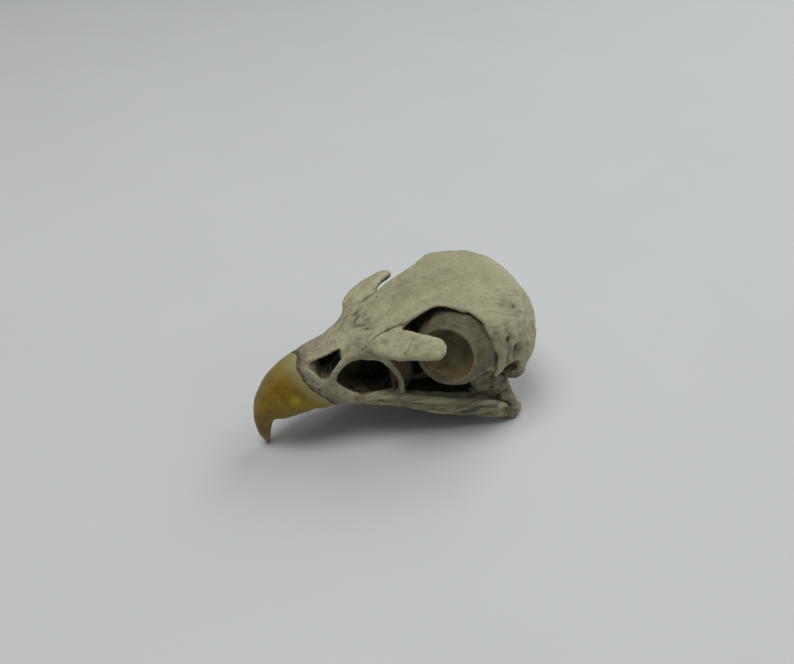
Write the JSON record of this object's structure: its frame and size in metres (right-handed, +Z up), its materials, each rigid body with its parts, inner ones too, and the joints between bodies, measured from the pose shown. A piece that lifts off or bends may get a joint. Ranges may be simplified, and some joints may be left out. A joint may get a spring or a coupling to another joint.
{
  "type": "hawk skull",
  "caption": "Life-size hawk skull without its lower jaw, with an amber hooked bill sheath, brow blades and bony eye rings, lying on its bill tip and the hinge bones of its jaw.",
  "frame": {"origin": "on the floor, on the mid-plane of the skull, halfway between the foremost point of the bill and the nape", "axes": "+X from the bill to the back of the head, +Y to the bird's right, +Z up from the floor the skull rests on"},
  "size_m": [0.0842, 0.0438, 0.0436],
  "materials": {
    "bone": "dry cream to olive-grey bone, matte with a slight sheen on the high ground, stained grey-brown in seams, pores and hollows",
    "horn": "amber horn, smooth and slightly glossy, paler and greener towards its rear edge",
    "dried_membrane": "dried brown-olive tissue at the bottom of the eye ring, matte"
  },
  "bodies": {
    "root": {"cranium": "bone", "upper_bill": "bone", "brow_left": "bone", "brow_right": "bone", "jugal_bar_left": "bone", "jugal_bar_right": "bone", "quadrate_left": "bone", "quadrate_right": "bone", "pterygoid_left": "bone", "pterygoid_right": "bone", "palatine_left": "bone", "palatine_right": "bone", "eye_ring_left": "bone", "eye_ring_right": "bone", "bill_sheath": "horn", "eye_cup_left": "dried_membrane", "eye_cup_right": "dried_membrane"}
  },
  "joints": []
}
